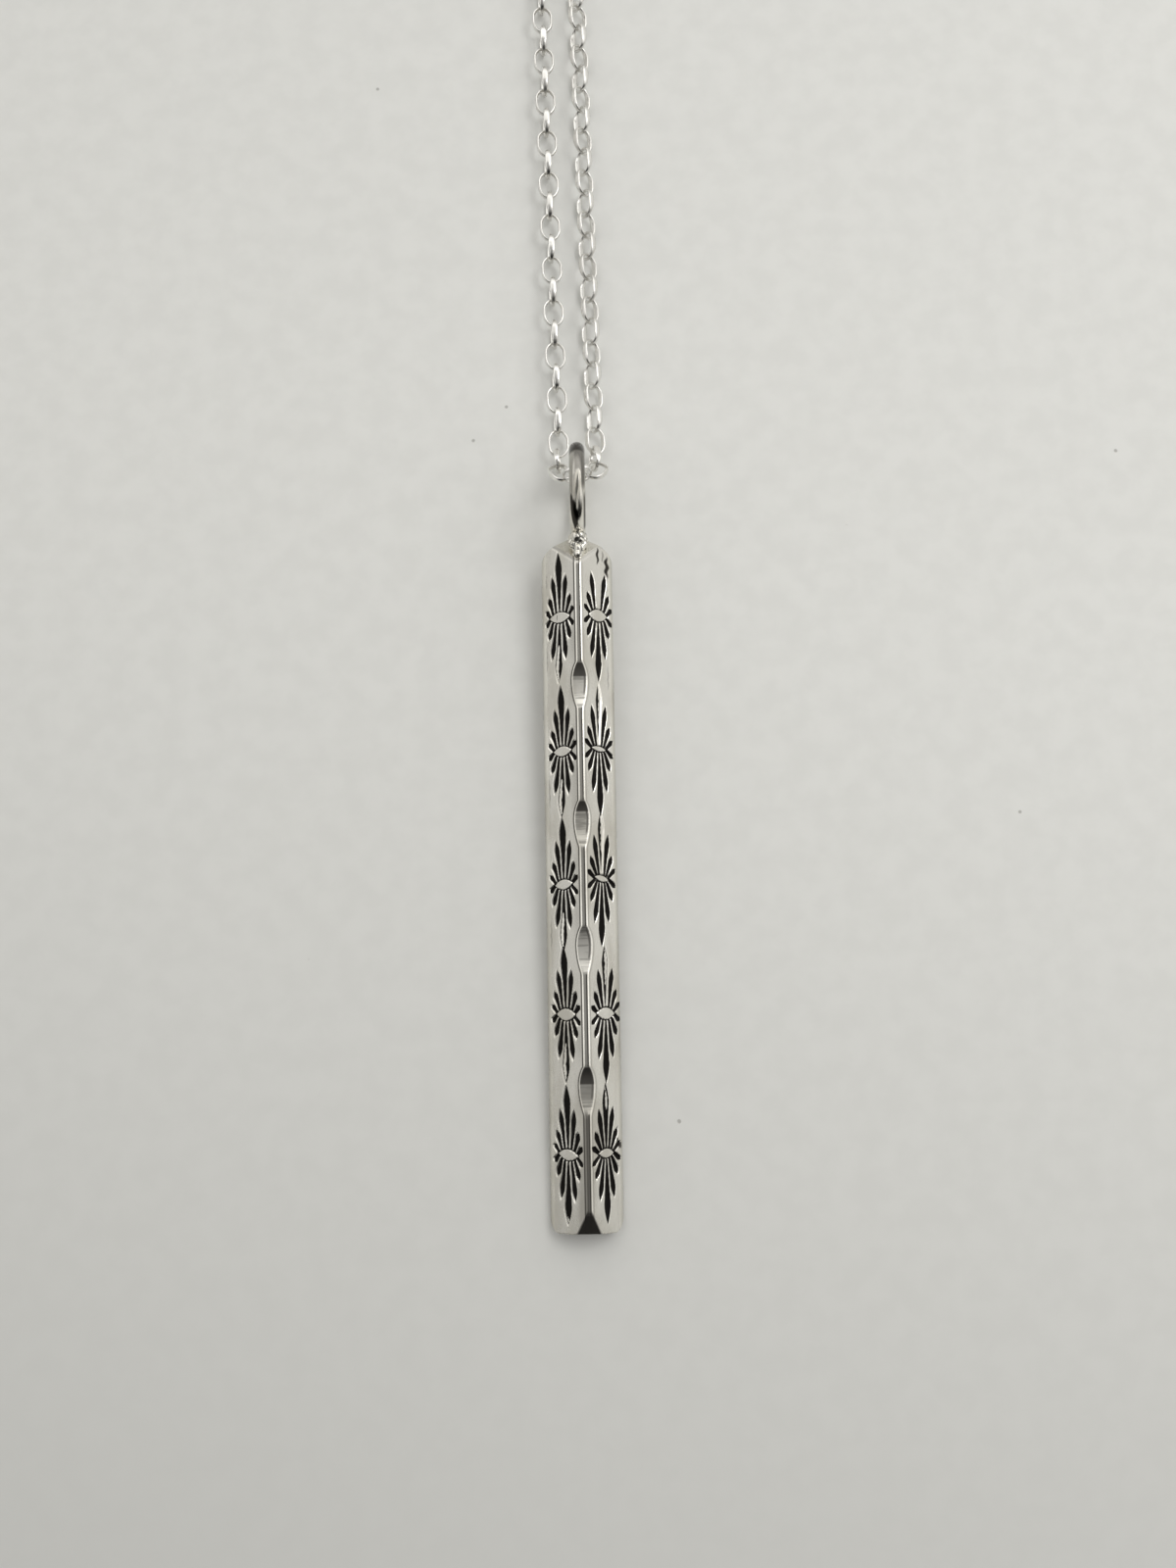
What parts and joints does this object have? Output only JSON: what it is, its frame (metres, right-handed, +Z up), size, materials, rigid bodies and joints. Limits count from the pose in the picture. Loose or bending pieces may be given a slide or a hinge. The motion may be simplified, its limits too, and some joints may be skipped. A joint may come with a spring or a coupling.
{
  "type": "triangular bar pendant on a chain",
  "caption": "Silver bar pendant of triangular section with stamped ray borders and a round-wire bail ring, threaded on a closed loop of fine oval belcher chain.",
  "frame": {"origin": "on the surface that the necklace lies on, under the middle of its outline", "axes": "+Z up from the surface, +Y along the bar towards the bail ring and on to the clasp, +X across the bar"},
  "size_m": [0.0984, 0.2516, 0.0085],
  "materials": {
    "oxidised_silver": "polished sterling silver with black oxidation in the stamped cuts",
    "chain_silver": "polished sterling silver"
  },
  "bodies": {
    "root": {"pendant": "oxidised_silver", "chain": "chain_silver", "clasp": "chain_silver"}
  },
  "joints": []
}
